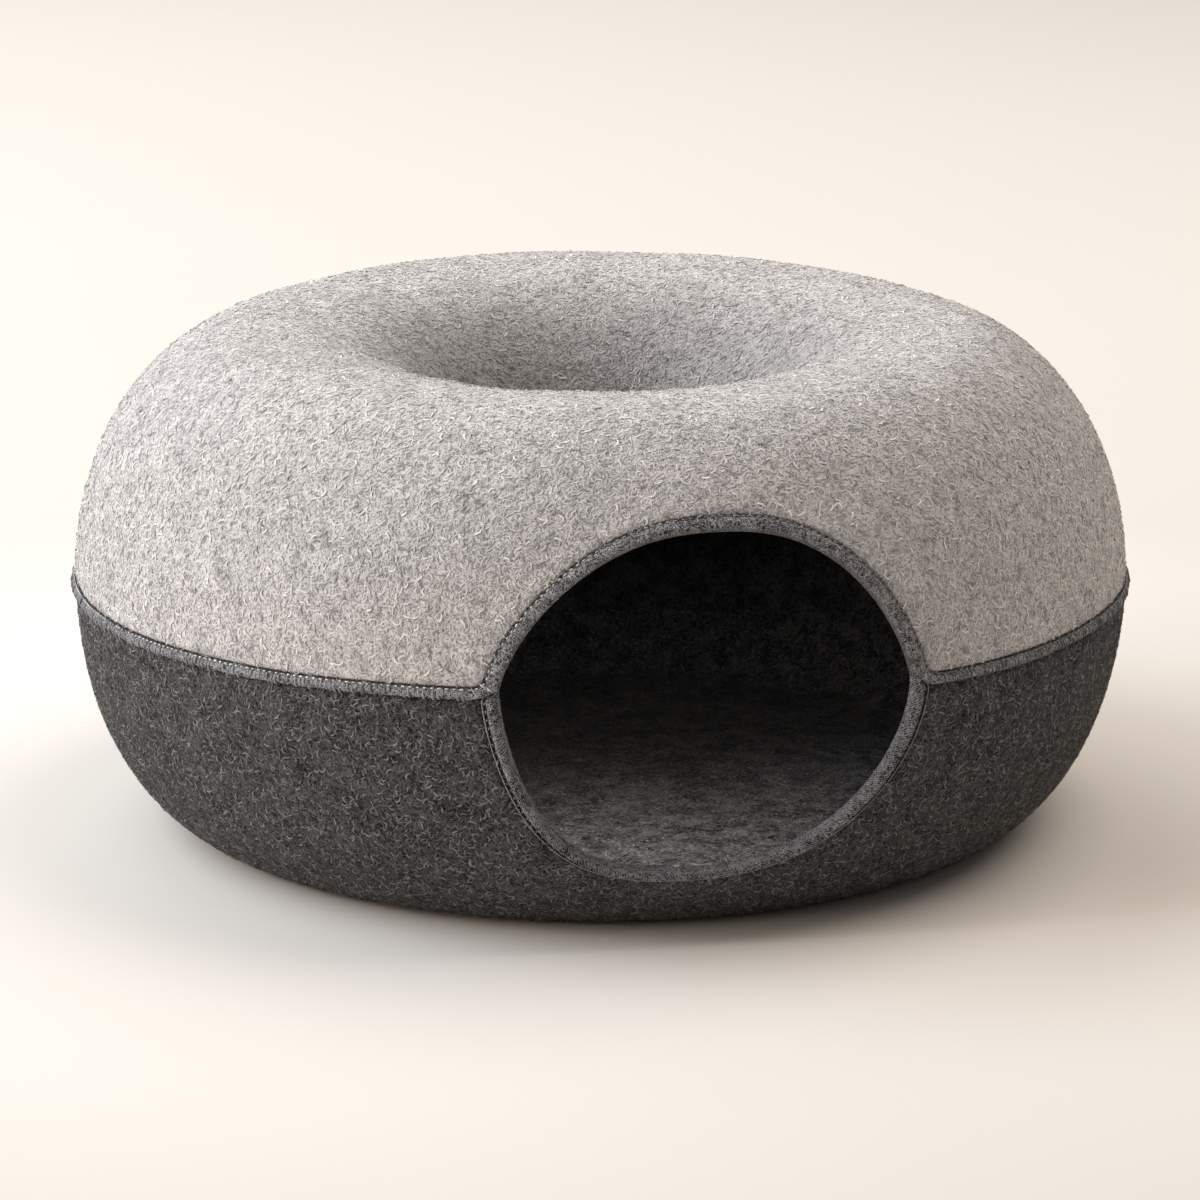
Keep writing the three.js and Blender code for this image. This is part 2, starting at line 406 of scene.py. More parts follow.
def row_lengths(start, end, first_step, step):
    """Lengths from an edge on, close together at first."""
    lengths, gap = [start], first_step
    while lengths[-1] + gap < end - step * LAST_STEP_SHARE:
        lengths.append(lengths[-1] + gap)
        gap = min(step, gap * STEP_GROWTH)
    return lengths + [end]


SWELL_REACH, TUCK_REACH = 4, 1.7
SWELL_WAVES = ((0.25, 23, 0), (0.2, 41, 1))  # their size, how many go round, and their phase
INNER_TUCK, INNER_TUCK_REACH = 0.9, 1.5


def felt_piece(name, shell, flip, tuck, bulge, materials):
    """A shell with its thickness. Its outer face turns in at its cut edges, after a swell."""
    away = shell.from_edge()
    wave = 1
    for size, times, phase in SWELL_WAVES:
        wave = wave + size * np.sin(shell.places[:, 0] * times + phase)
    swell = bulge * wave * (away / SWELL_REACH) * np.exp(1 - away / SWELL_REACH)
    outer = shell.points(swell - tuck * np.exp(-((away / TUCK_REACH) ** 2)))
    inner = shell.points(INNER_TUCK * np.exp(-((away / INNER_TUCK_REACH) ** 2)) - FELT)
    count = len(outer)
    outer_faces = [f[::-1] if flip else f for f in shell.faces]
    inner_faces = [[i + count for i in f[::-1]] for f in outer_faces]
    rim = [(b, a) if flip else (a, b) for a, b in shell.rim()]
    rim_faces = [[b, a, a + count, b + count] for a, b in rim]
    piece = new_piece(name, np.concatenate([outer, inner]), outer_faces + inner_faces + rim_faces)
    for material in materials:
        piece.data.materials.append(material)
    index = [0] * len(outer_faces) + [1] * len(inner_faces) + [0] * len(rim_faces)
    piece.data.polygons.foreach_set("material_index", index)
    skin = new_piece(name + "_skin", outer, outer_faces)
    lining = new_piece(name + "_lining", inner, [[i - count for i in f] for f in inner_faces])
    return piece, skin, lining


# --- Materials ---

def linear(hex_colour):
    """A colour in hex, as it is seen, turned to the linear colour that the shader takes."""
    channels = [int(hex_colour[i : i + 2], 16) / 255 for i in (0, 2, 4)]
    return (*(c / 12.92 if c <= 0.04045 else ((c + 0.055) / 1.055) ** 2.4 for c in channels), 1)


def add(tree, kind, inputs=None, **settings):
    """Adds a node; inputs gives its sockets a value each, an output, or a node's first output."""
    made = tree.nodes.new(kind)
    for key, value in settings.items():
        setattr(made, key, value)
    for key, value in (inputs or {}).items():
        if isinstance(value, bpy.types.Node):
            value = value.outputs[0]
        if isinstance(value, bpy.types.NodeSocket):
            tree.links.new(value, made.inputs[key])
        else:
            made.inputs[key].default_value = value
    return made


def new_material(name):
    """A material, its empty tree, and the place on the object that its patterns follow."""
    material = bpy.data.materials.new(name)
    material.use_nodes = True
    tree = material.node_tree
    tree.nodes.clear()
    return material, tree, add(tree, "ShaderNodeTexCoord").outputs["Object"]


MIX_A, MIX_B, MIX_COLOUR = 6, 7, 2  # the colour sockets of a Mix node


def mixed(tree, share, low, high):
    """A colour between two others; each is a hex colour or another node's output."""
    low, high = (linear(c) if isinstance(c, str) else c for c in (low, high))
    return add(tree, "ShaderNodeMix", {
        0: share, MIX_A: low, MIX_B: high,
    }, data_type="RGBA").outputs[MIX_COLOUR]


def ramp(tree, value, start, end, low=0.0, high=1.0, kind="LINEAR"):
    """A value's way from start to end, as a way from low to high."""
    return add(tree, "ShaderNodeMapRange", {
        "Value": value, "From Min": start, "From Max": end, "To Min": low, "To Max": high,
    }, interpolation_type=kind)


def noise(tree, place, size_mm, detail=2.0, roughness=0.6):
    return add(tree, "ShaderNodeTexNoise", {
        "Vector": place, "Scale": 1 / (size_mm * MM), "Detail": detail, "Roughness": roughness,
    })


def math_node(tree, operation, *values):
    return add(tree, "ShaderNodeMath", dict(enumerate(values)), operation=operation)


CURL_LINES = 5.6  # level lines of a smooth noise between its lowest and its highest value


def scaled(tree, colour, share):
    return add(tree, "ShaderNodeVectorMath", {0: colour, "Scale": share}, operation="SCALE")


def from_origin(tree, place):
    """How far a place is from the origin."""
    return add(tree, "ShaderNodeVectorMath", {0: place}, operation="LENGTH").outputs["Value"]


def strokes(tree, place, curl_mm):
    """Curled fibres across one another: level lines of smooth noises, from a gap to a fibre."""
    bends = noise(tree, place, curl_mm, 1.0, 0.35).outputs["Color"]
    over, under, third = (
        math_node(tree, "SINE", math_node(tree, "MULTIPLY", field, math.tau * CURL_LINES))
        for field in add(tree, "ShaderNodeSeparateColor", {0: bends}).outputs
    )
    mat = math_node(tree, "MAXIMUM", over, under)
    return math_node(tree, "MULTIPLY_ADD", third, 0.35, math_node(tree, "SUBTRACT", mat, 0.4))


def marl(tree, place, look):
    """Clumps of lighter and darker wool, as a step up or down on the way to the pale tone."""
    clump = noise(tree, place, look["clump_mm"], 3.0, 0.65)
    return ramp(tree, clump, 0.3, 0.7, -look["clump"], look["clump"])


def felt_tone(tree, place, look):
    """The clumps with the strokes on them, as a share of the way to the pale tone."""
    clumps = marl(tree, place, look)
    fibre = strokes(tree, place, look["curl_mm"])
    middle = math_node(tree, "ADD", clumps, look["middle"])
    return math_node(tree, "MULTIPLY_ADD", fibre, look["stroke"], middle), fibre


def finish(tree, colour, roughness, specular, **more):
    """Ends a material's tree in a shader."""
    shader = add(tree, "ShaderNodeBsdfPrincipled", {
        "Base Color": colour, "Roughness": roughness, "Specular IOR Level": specular,
    } | {key.replace("_", " ").title(): value for key, value in more.items()})
    add(tree, "ShaderNodeOutputMaterial", {"Surface": shader})


def painted_shade_inwards(tree, place, colour, look):
    """A felt's colour with painted shade, darker the deeper it lies: to the cave's back for the
    inside felt, into the centre hole for the light felt.
    """
    if "inward" not in look:
        return colour
    along_axis, start, end, least = look["inward"]
    if along_axis == "radius":
        flat = add(tree, "ShaderNodeVectorMath", {0: place, 1: (1, 1, 0)}, operation="MULTIPLY")
        depth = from_origin(tree, flat)
    else:
        depth = add(tree, "ShaderNodeSeparateXYZ", {"Vector": place}).outputs[along_axis]
    # painted shade: the colour grows darker with depth
    share = ramp(tree, depth, start * MM, end * MM, 1.0, least, "SMOOTHSTEP")
    return scaled(tree, colour, share)


def wool_grain(tree, place):
    return noise(tree, place, 0.9, 2.0, 0.7)


def felt_material(name, look):
    """Needle-punched wool felt: a marled mat of curled fibres, matt, with a soft sheen, and painted
    shade where its look has it.
    """
    material, tree, place = new_material(name)
    tone, fibre = felt_tone(tree, place, look)
    grain = wool_grain(tree, place)
    stray = math_node(tree, "SUBTRACT", grain, 0.5)
    share = math_node(tree, "MULTIPLY_ADD", stray, look["grain"], tone)
    colour = mixed(tree, ramp(tree, share, 0.0, 1.0), look["dark"], look["pale"])
    colour = painted_shade_inwards(tree, place, colour, look)
    bump = add(tree, "ShaderNodeBump", {
        "Height": math_node(tree, "ADD", fibre, grain), "Strength": look["bump"],
        "Distance": 0.4 * MM,
    })
    finish(
        tree, colour, 0.96, 0.18, sheen_weight=look["sheen"], sheen_roughness=0.55,
        sheen_tint=linear(look["pale"]), normal=bump,
    )
    return material


LIGHT_LOOK = {
    "dark": "6f6b6b", "pale": "e6e1de", "middle": 0.56, "stroke": 0.21, "clump": 0.13,
    "grain": 0.55, "clump_mm": 13.0, "curl_mm": 5.0, "bump": 0.7, "sheen": 0.15,
    # painted shade: darker into the centre hole, from 175 mm to 90 mm off the axis
    "inward": ("radius", 175.0, 90.0, 0.62),
}
CHARCOAL_LOOK = {
    "dark": "121112", "pale": "7b7978", "middle": 0.27, "stroke": 0.17, "clump": 0.11,
    "grain": 0.45, "clump_mm": 12.0, "curl_mm": 5.0, "bump": 0.7, "sheen": 0.08,
}
# The charcoal felt's copy for the cave's inner face, with painted shade: darker towards the cave's
# back (+Y)
INNER_PAINTED_SHADE_LOOK = CHARCOAL_LOOK | {
    "inward": ("Y", -140.0, 100.0, 0.25), "sheen": 0.03, "clump": 0.25, "curl_mm": 7.0,
}

light_felt = felt_material("wool_felt_light_marl", LIGHT_LOOK)
charcoal_felt = felt_material("wool_felt_charcoal_marl", CHARCOAL_LOOK)
# The inner face's felt, with its painted shade
charcoal_inside = felt_material("wool_felt_charcoal_inner_face", INNER_PAINTED_SHADE_LOOK)


def fibre_material(name, low, high, look, sheen):
    """Loose wool fibres on the felt, each of its own shade and lighter where their clump is, with
    their felt's painted shade.
    """
    material, tree, place = new_material(name)
    shade = add(tree, "ShaderNodeAttribute", attribute_name="shade").outputs["Fac"]
    tone = math_node(tree, "ADD", shade, marl(tree, place, look))
    colour = mixed(tree, ramp(tree, tone, 0.0, 1.0), low, high)
    colour = painted_shade_inwards(tree, place, colour, look)
    finish(tree, colour, 0.9, 0.2, sheen_weight=sheen)
    return material


light_fibre = fibre_material("wool_fibre_light", "8d8986", "e7e2df", LIGHT_LOOK, 0.1)
charcoal_fibre = fibre_material("wool_fibre_charcoal", "1f1e1f", "838180", CHARCOAL_LOOK, 0.05)
tape_fibre = fibre_material("wool_fibre_tape", "262627", "b3b1b1", CHARCOAL_LOOK, 0.05)
# The fibres inside the cave carry the same painted shade
inner_fibre = fibre_material("wool_fibre_charcoal_inside", "1f1e1f", "838180", INNER_PAINTED_SHADE_LOOK, 0.0)


TAPE_CURL_MM = 3.0
RIB_LEAN = 0.6  # how far a knitted rib runs along the tape on its way across


def tape_material(name, dark, ground, pale, rib_mm, groove, ribbed, lip, bead=None):
    """Felted knit tape: fine slanting ribs, fuzzy, with painted shade in its stitch groove.

    The UV map runs along the tape in X and over its face in Y, in metres from the felt's side.
    groove and bead are the distances in millimetres between which it is darkest, by painted shade,
    and palest. lip is the colour of the light painted at its lip (darker for painted shade, paler
    for a painted highlight), the distances over which the tape turns to it, and how far it does.
    """
    material, tree, place = new_material(name)
    uv = add(tree, "ShaderNodeUVMap", uv_map="tape")
    run, across, _ = add(tree, "ShaderNodeSeparateXYZ", {"Vector": uv}).outputs
    slant = math_node(tree, "MULTIPLY_ADD", across, RIB_LEAN, run)
    bent = math_node(tree, "MULTIPLY_ADD", noise(tree, place, 3.0), rib_mm * MM * 1.4, slant)
    wave = math_node(tree, "SINE", math_node(tree, "MULTIPLY", bent, math.tau / (rib_mm * MM)))
    patch = noise(tree, place, 7.0)
    mottle = math_node(tree, "MULTIPLY_ADD", patch, 0.8, wool_grain(tree, place))
    mottle = math_node(tree, "MULTIPLY_ADD", wave, ribbed, mottle)
    curls = strokes(tree, place, TAPE_CURL_MM)
    mottle = math_node(tree, "MULTIPLY_ADD", curls, 0.26, mottle)
    colour = mixed(tree, ramp(tree, mottle, 0.68, 1.28), ground, pale)

    def band(start, end, soft=0.35):
        rises = ramp(tree, across, (start - soft) * MM, (start + soft) * MM)
        falls = ramp(tree, across, (end - soft) * MM, (end + soft) * MM, 1.0, 0.0)
        return math_node(tree, "MULTIPLY", rises, falls)

    # painted light at the lip: painted shade on the strip, a painted highlight on the binding
    painted_lip_colour, lip_start, lip_end, lip_share = lip
    painted_lip_light = ramp(tree, across, lip_start * MM, lip_end * MM, 0.0, lip_share)
    painted_lip_light = math_node(tree, "MULTIPLY", painted_lip_light, ramp(tree, mottle, 0.55, 1.35, 0.15, 1.0))
    colour = mixed(tree, painted_lip_light, colour, painted_lip_colour)
    # painted shade in the groove
    colour = mixed(tree, band(*groove), colour, dark)
    if bead:
        colour = mixed(tree, band(*bead, soft=0.15), colour, pale)
    bump = add(tree, "ShaderNodeBump", {"Height": mottle, "Strength": 0.9, "Distance": 0.8 * MM})
    finish(tree, colour, 0.88, 0.25, sheen_weight=0.1, normal=bump)
    return material


# The strip: painted shade in its groove, where it meets the felt, and at its lip
strip_tape = tape_material(
    "felted_tape_grey", dark="242425", ground="1d1d1f", pale="b5b3b4", rib_mm=1.1,
    groove=(-3.0, 0.9), ribbed=0.1, lip=("241f1b", 7.5, 12.0, 0.6),
)
# The binding: painted shade in its stitch channel, and a painted highlight along its lip
binding_tape = tape_material(
    "felted_knit_binding_grey", dark="1b1b1c", ground="18181a", pale="a0a0a4", rib_mm=1.5,
    groove=(1.2, 2.8), ribbed=0.19, lip=("b3b6c0", 9.8, 11.4, 0.58), bead=(0.2, 0.9),
)


PAINTED_LIGHT_ACROSS = (-95 * MM, -55 * MM)  # across the body, where the threads' painted light goes from paler on the left to duller


def thread_material(name, colour):
    """Spun polyester sewing thread: a faint gloss along its round back, and painted light that
    makes it paler to the left.
    """
    material, tree, place = new_material(name)
    fuzz = noise(tree, place, 0.6, 1.0)
    patch = noise(tree, place, 22.0, 1.0)
    worn = math_node(tree, "MULTIPLY_ADD", patch, 2.0, fuzz)
    tone = ramp(tree, worn, 1.1, 2.0, 0.5, 1.5)
    across = add(tree, "ShaderNodeSeparateXYZ", {"Vector": place}).outputs["X"]
    # painted light: paler towards the body's left, duller to its right
    tone = math_node(tree, "MULTIPLY", tone, ramp(tree, across, *PAINTED_LIGHT_ACROSS, 1.25, 0.45))
    finish(tree, scaled(tree, linear(colour)[:3], tone), 0.55, 0.4, sheen_weight=0.15)
    return material


bright_thread = thread_material("spun_polyester_thread_pale", "c9c7c5")
rib_thread = thread_material("spun_polyester_thread_grey", "77777a")
channel_thread = thread_material("spun_polyester_thread_dull", "8d8b89")

# --- The two felt shells ---

UPPER_DOOR_TOP = 254.0  # height of the grid row that closes the room made for the arch
LOWER_DOOR_FOOT = 13.0
EDGE_STEP, ROW_STEP = 0.8, 5.0  # between rows of the grid, at a cut edge and away from it


def shell_rows(wall, edge, door_end, step, last):
    """A shell's rows from its cut edge on, and the row that closes the doorway's room.

    last gives the rows at the wall's end, as lengths back from it. Its first says where they start.
    """
    rows = row_lengths(
        float(wall.length_at(edge)), float(wall.length_at(door_end)), EDGE_STEP, ROW_STEP,
    )
    door_row = len(rows) - 1
    rows += row_lengths(rows[-1], wall.length[-1] - last[0], ROW_STEP, step)[1:]
    return rows + [wall.length[-1] - back for back in last[1:]], door_row


upper_rows, upper_last = shell_rows(upper_wall, UPPER_EDGE, UPPER_DOOR_TOP, 5.6, (4, 1.5, 0))
lower_rows, lower_last = shell_rows(
    lower_wall, LOWER_EDGE, LOWER_DOOR_FOOT, 5.5, (190, 160, 125, 90, 55, 25),
)

upper_felt, upper_skin, upper_lining = felt_piece(
    "upper_felt",
    Shell(upper_wall, upper_rows, upper_last, upper_outline()),
    flip=False, tuck=0.4, bulge=0.35, materials=[light_felt, light_felt],
)
lower_felt, lower_skin, lower_lining = felt_piece(
    "lower_felt",
    Shell(lower_wall, lower_rows, lower_last, lower_outline(), pole=True),
    flip=True, tuck=0.9, bulge=0.2, materials=[charcoal_felt, charcoal_inside],
)


# --- The strip and the binding ---

FELT_SIDE, LIP, BETWEEN = 0, 1, 2
FACE_START = 3  # the row where a tape comes out of the wall


def tape_section(*runs):
    """A tape's section, from the felt's side over the face to the lip, and back through the wall.

    Each row says which line it is measured from, how far towards the other, and how far out it is.
    """
    return [(side, *row) for side, *rows in runs for row in rows]


STRIP_SECTION = tape_section(
    (FELT_SIDE, (0.0, -4.6), (0.0, -2.4), (0.0, -0.6), (0.1, 0.5), (0.35, 1.0), (0.7, 1.0),
     (1.1, 0.5), (1.6, 1.1), (2.4, 1.9)),
    (BETWEEN, (0.48, 2.35), (0.62, 2.5)),
    (LIP, (1.7, 2.45), (0.9, 2.2), (0.3, 1.6), (0.0, 0.8), (0.0, -0.6), (0.0, -2.6), (0.0, -4.8),
     (0.5, -5.8), (1.4, -6.2)),
    (BETWEEN, (0.5, -6.3)),
    (FELT_SIDE, (1.6, -6.2), (0.5, -5.8)),
)
BINDING_SECTION = tape_section(
    (FELT_SIDE, (0.0, -4.6), (0.0, -2.4), (0.0, -0.8), (0.08, 0.35), (0.4, 0.85), (0.8, 0.75),
     (1.1, 0.2), (1.5, -0.1), (2.2, -0.1), (2.7, 0.4), (3.3, 1.3), (4.2, 2.0)),
    (BETWEEN, (0.52, 2.4), (0.64, 2.45)),
    (LIP, (2.6, 2.2), (1.3, 1.7), (0.4, 0.8), (0.0, -0.4), (0.0, -2.5), (0.0, -4.6), (0.5, -5.7),
     (1.5, -6.2)),
    (BETWEEN, (0.5, -6.3)),
    (FELT_SIDE, (1.6, -6.2), (0.5, -5.8)),
)


def across_tape(felt_side, lip, mark):
    """Where on a tape one row of its section lies, for each pair of places on its two edges."""
    side, distance, _ = mark
    width = np.maximum(np.linalg.norm(lip - felt_side, axis=1, keepdims=True), SECTION_WIDTH)
    share = {
        FELT_SIDE: distance / width,
        LIP: 1 - distance / width,
        BETWEEN: np.full_like(width, distance),
    }[side]
    return felt_side + (lip - felt_side) * share


# How far out of the wall a tape's face shows, measured from each of its lines
STRIP_SHOWN = {FELT_SIDE: 0.2, BETWEEN: 0.2, LIP: -0.7}
BINDING_SHOWN = {FELT_SIDE: 0.2, BETWEEN: 0.2, LIP: -4.7}


def face_out(piece, skin):
    """Turns a closed piece's faces, and its skin's, if its volume says that they point inwards."""
    mesh = piece.data
    mesh.calc_loop_triangles()
    co = np.array([v.co for v in mesh.vertices])
    tri = np.array([t.vertices for t in mesh.loop_triangles])
    a, b, c = (co[tri[:, k]] for k in range(3))
    if np.einsum("ij,ij->i", a, np.cross(b, c)).sum() < 0:
        mesh.flip_normals()
        skin.data.flip_normals()


def sweep(name, felt_side, lip, section, shown_from, closed, material, height=None):
    """A tape between two lines of places, its section's width fitted to each pair of them."""
    rows = []
    for mark in section:
        at = across_tape(felt_side, lip, mark)
        out = np.full(len(at), mark[2])
        if height is not None:
            out = np.where(out > 0, out * height, out)
        rows.append(place_on_tape(at, out))
    rings = np.stack(rows, axis=1)  # one ring of points for each pair
    count, size = rings.shape[:2]
    middle = rings.mean(axis=1)
    run = run_of(np.concatenate([middle, middle[:1]]))
    around = np.linalg.norm(np.diff(rings, axis=1, append=rings[:, :1]), axis=2)
    girth = np.concatenate([[0], np.cumsum(around.mean(axis=0))])
    girth -= girth[FACE_START]
    faces, uvs, shown = [], [], []
    for i in range(count if closed else count - 1):
        j = (i + 1) % count
        for k in range(size):
            n = (k + 1) % size
            faces.append([i * size + k, i * size + n, j * size + n, j * size + k])
            if all(mark[2] > shown_from[mark[0]] for mark in (section[k], section[n])):
                shown.append(faces[-1])
            uvs += [(run[i], girth[k]), (run[i], girth[k + 1])]
            uvs += [(run[i + 1], girth[k + 1]), (run[i + 1], girth[k])]
    if not closed:
        for end in (range(size), range((count - 1) * size, count * size)):
            faces.append(list(end)[::-1] if end.start == 0 else list(end))
            uvs += [(run[0], 0)] * size
    piece = new_piece(name, rings.reshape(-1, 3), faces, material)
    layer = piece.data.uv_layers.new(name="tape")
    layer.data.foreach_set("uv", np.array(uvs).ravel())
    skin = new_piece(name + "_skin", rings.reshape(-1, 3), shown)
    face_out(piece, skin)
    return piece, skin


# A place on a tape is (its angle in radians times this, its height), both in millimetres
ANGLE_UNIT = BODY_RADIUS


def to_place(line):
    """Places on a tape for a line in the front view."""
    across, height = line.T
    radius = np.empty(len(line))
    for section, part in by_wall(height):
        radius[part] = section.at(section.length_at(height[part]))[0]
    return np.stack([np.arcsin(across / radius) * ANGLE_UNIT, height], axis=1)


def place_on_tape(at, out):
    """Points in metres for places on a tape, each a distance out from the wall."""
    points = np.empty((len(at), 3))
    for section, part in by_wall(at[:, 1]):
        length = section.length_at(at[part, 1])
        points[part] = on_wall(section, at[part, 0] / ANGLE_UNIT, length, out[part])
    return points


def strip_foot(across):
    """The strip's lower edge beside the doorway, where it curves up to the arch's inner edge."""
    near = np.clip(1 - (np.abs(across) - DOOR_HALF_WIDTH) / TIP_REACH, 0, 1)
    return np.stack([across, STRIP_FOOT + TIP_RISE * near**TIP_CURVE], axis=1)


def strip_lines():
    """The strip's upper and lower edge all the way round, from the left corner over the arch."""
    centre, _, _, start = arch_corner(0)
    upper_corner = to_place(corner_arc(0, np.linspace(0, 1, 17)))
    to_tip = strip_foot(np.linspace(-centre, -DOOR_HALF_WIDTH, 9)[:-1])
    tip = angle_at(ARCH, (STRIP_FOOT + TIP_RISE - SEAM_HEIGHT) / ARCH_RISE)
    from_tip = door_line(OVER, 0, 0, np.linspace(math.pi - tip, math.pi - start, 24))
    lower_corner = to_place(np.concatenate([to_tip, along(from_tip, np.linspace(0, 1, 9))]))
    over = np.linspace(math.pi - start, start, 130)[1:-1]
    upper_arch = to_place(door_line(OVER, SIDE_BAND, ARCH_TOP_BAND, over))
    lower_arch = to_place(door_line(OVER, 0, 0, over))
    first = math.degrees(upper_corner[0, 0] / ANGLE_UNIT)
    back = np.radians(np.linspace(-first, 360 + first, 460)[1:-1]) * ANGLE_UNIT
    lower_back = np.stack([back, np.full(len(back), STRIP_FOOT)], axis=1)
    return (
        np.concatenate([both_sides(upper_corner, upper_arch), lower_back + (0, STRIP_HEIGHT)]),
        np.concatenate([both_sides(lower_corner, lower_arch), lower_back]),
    )


strip_upper, strip_lower = strip_lines()
edge_strip, strip_skin = sweep(
    "edge_strip", strip_upper, strip_lower, STRIP_SECTION, STRIP_SHOWN, closed=True,
    material=strip_tape,
)


SILL_END_TAPER = 0.8  # how much narrower the binding gets under the strip's corner
SILL_END_HEIGHT, SILL_END_REACH = 0.7, 12  # and how much lower, over how many millimetres
SILL_STEP = 1.8  # about the length between two of its rows


def sill_lines():
    """The binding's outer and inner edge, whose ends reach up under the strip's corners."""
    end = angle_at(SILL, (SEAM_HEIGHT - STRIP_FOOT + GAP) / SILL_DROP)
    angles = np.linspace(math.pi - end, end, 190)
    outer = door_line(UNDER, SIDE_BAND, SILL_FOOT_BAND, angles)
    outer[:, 1] = np.minimum(outer[:, 1], STRIP_FOOT - GAP)
    rise = np.linspace(1, 0, 8)[:-1]
    outer_end = strip_foot(-DOOR_HALF_WIDTH - SIDE_BAND * (1 - SILL_END_TAPER * rise)) - (0, GAP)
    inner_end = np.stack([
        np.full(len(rise), -DOOR_HALF_WIDTH), STRIP_FOOT - GAP + TIP_RISE * rise,
    ], axis=1)
    return (
        to_place(both_sides(outer_end, outer)),
        to_place(both_sides(inner_end, door_line(UNDER, 0, 0, angles))),
    )


sill_outer, sill_inner = sill_lines()
sill_row = np.arange(len(sill_outer))
from_end = np.minimum(sill_row, sill_row[::-1]) * SILL_STEP
sill_height = 1 - (1 - SILL_END_HEIGHT) * np.clip(1 - from_end / SILL_END_REACH, 0, 1)
sill_binding, binding_skin = sweep(
    "sill_binding", sill_outer, sill_inner, BINDING_SECTION, BINDING_SHOWN, closed=False,
    material=binding_tape, height=sill_height,
)


# --- What repeats: stitches, ribs and loose fibres ---

def tree_with_inputs(name, sockets):
    """A tree of Geometry Nodes with these inputs after its geometry, and their sockets."""
    tree = bpy.data.node_groups.new(name, "GeometryNodeTree")
    for socket, kind in ({"Geometry": "Geometry"} | sockets).items():
        tree.interface.new_socket(socket, in_out="INPUT", socket_type="NodeSocket" + kind)
    tree.interface.new_socket("Geometry", in_out="OUTPUT", socket_type="NodeSocketGeometry")
    return tree, tree.nodes.new("NodeGroupInput").outputs


def end_tree(tree, placed, material):
    """Ends a tree: its instances made real, in one material."""
    real = add(tree, "GeometryNodeRealizeInstances", {"Geometry": placed})
    finished = add(tree, "GeometryNodeSetMaterial", {"Geometry": real, "Material": material})
    add(tree, "NodeGroupOutput", {0: finished})
    return tree


def stitch_row_tree():
    """A shape set along a line, one a pitch, that follows the line and stands out from the wall."""
    tree, given = tree_with_inputs("stitch_row", {
        "Pitch": "Float", "Shape": "Object", "Material": "Material", "Uneven": "Float",
        "Seed": "Int",
    })
    curve = add(tree, "GeometryNodeMeshToCurve", {"Mesh": given["Geometry"]})
    spaced = add(tree, "GeometryNodeResampleCurve", {
        "Curve": curve, "Length": given["Pitch"],
    }, mode="LENGTH")
    shape = add(tree, "GeometryNodeObjectInfo", {"Object": given["Shape"]})
    out = add(tree, "GeometryNodeInputNamedAttribute", {"Name": "out"}, data_type="FLOAT_VECTOR")
    turn = add(tree, "FunctionNodeAxesToRotation", {
        "Primary Axis": out, "Secondary Axis": add(tree, "GeometryNodeInputTangent"),
    }, primary_axis="Z", secondary_axis="X")
    size = add(tree, "FunctionNodeRandomValue", {
        "Min": math_node(tree, "SUBTRACT", 1.0, given["Uneven"]),
        "Max": math_node(tree, "ADD", 1.0, given["Uneven"]), "Seed": given["Seed"],
    }, data_type="FLOAT_VECTOR")
    placed = add(tree, "GeometryNodeInstanceOnPoints", {
        "Points": spaced, "Instance": shape.outputs["Geometry"],
        "Rotation": turn, "Scale": size,
    })
    return end_tree(tree, placed, given["Material"])


FIBRE_TILT = 0.25  # radians, at most, out of the surface


def nap_tree():
    """Fibres scattered over a surface and turned every way, each with its own size and shade."""
    tree, given = tree_with_inputs("felt_nap", {
        "Fibres": "Collection", "Density": "Float", "Smallest": "Float", "Largest": "Float",
        "Material": "Material", "Seed": "Int",
    })
    spots = add(tree, "GeometryNodeDistributePointsOnFaces", {
        "Mesh": given["Geometry"], "Density": given["Density"], "Seed": given["Seed"],
    }, distribute_method="RANDOM")
    shapes = add(tree, "GeometryNodeCollectionInfo", {
        "Collection": given["Fibres"], "Separate Children": True, "Reset Children": True,
    })
    turn = add(tree, "FunctionNodeRandomValue", {
        "Max": (FIBRE_TILT, FIBRE_TILT, 2 * math.pi), "Min": (-FIBRE_TILT, -FIBRE_TILT, 0.0),
        "Seed": given["Seed"],
    }, data_type="FLOAT_VECTOR")
    spin = add(tree, "FunctionNodeEulerToRotation", {0: turn})
    facing = add(tree, "FunctionNodeRotateRotation", {
        0: spots.outputs["Rotation"], 1: spin,
    }, rotation_space="LOCAL")
    size = add(tree, "FunctionNodeRandomValue", {
        2: given["Smallest"], 3: given["Largest"], "Seed": given["Seed"],
        "ID": add(tree, "GeometryNodeInputIndex"),
    }, data_type="FLOAT")
    placed = add(tree, "GeometryNodeInstanceOnPoints", {
        "Points": spots.outputs["Points"], "Instance": shapes, "Pick Instance": True,
        "Rotation": facing, "Scale": size.outputs[1],
    })
    shade = add(tree, "FunctionNodeRandomValue", {"Seed": 5}, data_type="FLOAT")
    shaded = add(tree, "GeometryNodeStoreNamedAttribute", {
        "Geometry": placed, "Name": "shade", "Value": shade.outputs[1],
    }, data_type="FLOAT", domain="INSTANCE")
    return end_tree(tree, shaded, given["Material"])


def grown(name, host, tree, values):
    """What a tree makes of a host object, as a plain mesh in a piece of its own."""
    modifier = host.modifiers.new(name, "NODES")
    modifier.node_group = tree
    for item in tree.interface.items_tree:
        if item.in_out == "INPUT" and item.name in values:
            modifier[item.identifier] = values[item.name]
    host.update_tag()
    evaluated = host.evaluated_get(bpy.context.evaluated_depsgraph_get())
    mesh = bpy.data.meshes.new_from_object(evaluated)
    mesh.name = name
    host.modifiers.remove(modifier)
    return in_scene(bpy.data.objects.new(name, mesh))


